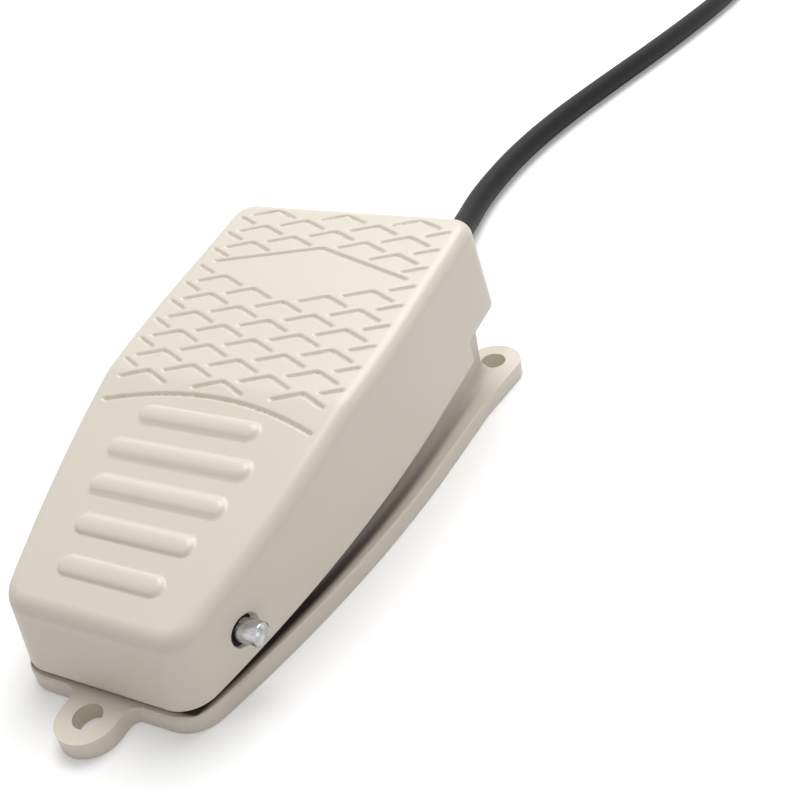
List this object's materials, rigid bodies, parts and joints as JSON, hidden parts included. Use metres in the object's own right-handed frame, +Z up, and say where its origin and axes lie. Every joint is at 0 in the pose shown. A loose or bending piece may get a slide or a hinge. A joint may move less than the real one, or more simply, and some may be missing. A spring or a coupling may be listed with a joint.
{
  "type": "foot switch pedal",
  "caption": "Cast foot switch: hinged ribbed treadle over a flanged base with three screw ears, microswitch, return spring and trailing cord.",
  "frame": {"origin": "middle of the bounding box of the pedal without its cord, on the floor plane that the base stands on", "axes": "+Z up; +Y from the hinge end toward the end where the cord leaves; +X right when looking along +Y"},
  "size_m": [0.14, 0.6428, 0.0549],
  "materials": {
    "enamel": "glossy cream enamel over die-cast aluminium",
    "bright_steel": "bright ground steel",
    "zinc_steel": "zinc-plated steel",
    "spring_steel": "spring steel",
    "black_nylon": "black nylon",
    "black_rubber": "black rubber",
    "phenolic": "moulded phenolic resin",
    "red_plastic": "red plastic",
    "brass": "tinned brass",
    "sheath": "black PVC sheath, satin",
    "brown_pvc": "brown core insulation",
    "blue_pvc": "blue core insulation",
    "earth_pvc": "green and yellow core insulation",
    "label_film": "plain black film label"
  },
  "bodies": {
    "base": {"base_casting": "enamel", "pivot_pin": "bright_steel", "lever_pin": "bright_steel", "switch_bracket": "zinc_steel", "switch_screw_heel": "zinc_steel", "switch_screw_toe": "zinc_steel", "switch_nut_heel": "zinc_steel", "switch_nut_toe": "zinc_steel", "bracket_screw_heel": "zinc_steel", "bracket_screw_toe": "zinc_steel", "clamp_screw_left": "zinc_steel", "clamp_screw_right": "zinc_steel", "cord_clamp": "zinc_steel", "earth_screw": "zinc_steel", "return_spring": "spring_steel", "pin_clip_left": "spring_steel", "pin_clip_right": "spring_steel", "cord_tie": "black_nylon", "stop_buffer_left": "black_rubber", "stop_buffer_right": "black_rubber", "strain_relief": "black_rubber", "switch_case": "phenolic", "switch_cover": "phenolic", "terminal_common": "brass", "terminal_open": "brass", "terminal_closed": "brass", "earth_tag": "brass", "cord_run": "sheath", "cord_coil": "sheath", "core_common": "brown_pvc", "tail_common": "brown_pvc", "core_open": "blue_pvc", "tail_open": "blue_pvc", "core_earth": "earth_pvc", "tail_earth": "earth_pvc"},
    "treadle": {"treadle_casting": "enamel", "pivot_bush_left": "black_nylon", "pivot_bush_right": "black_nylon", "adjusting_screw": "zinc_steel", "lock_nut": "zinc_steel", "rating_label": "label_film"},
    "plunger": {"switch_plunger": "red_plastic"},
    "lever": {"switch_lever": "spring_steel"}
  },
  "joints": [
    {"name": "treadle_hinge", "type": "hinge", "parent": "base", "child": "treadle", "pos_m": [0, -0.05115, 0.0166], "axis": [-1, 0, 0], "range_deg": [0, 5], "stiffness_Nm_per_rad": 6, "springref_deg": -5.73, "deforming": ["return_spring"]},
    {"name": "lever_hinge", "type": "hinge", "parent": "base", "child": "lever", "pos_m": [0, 0.02645, 0.02555], "axis": [1, 0, 0], "range_deg": [0, 8.2]},
    {"name": "plunger_slide", "type": "slide", "parent": "base", "child": "plunger", "axis": [0, 0, -1], "range_m": [0, 0.001]}
  ],
  "couplings": [
    {"joint": "lever_hinge", "follows": "treadle_hinge", "ratio": 1.5867},
    {"joint": "plunger_slide", "follows": "treadle_hinge", "m_per_rad": 0.00952}
  ]
}
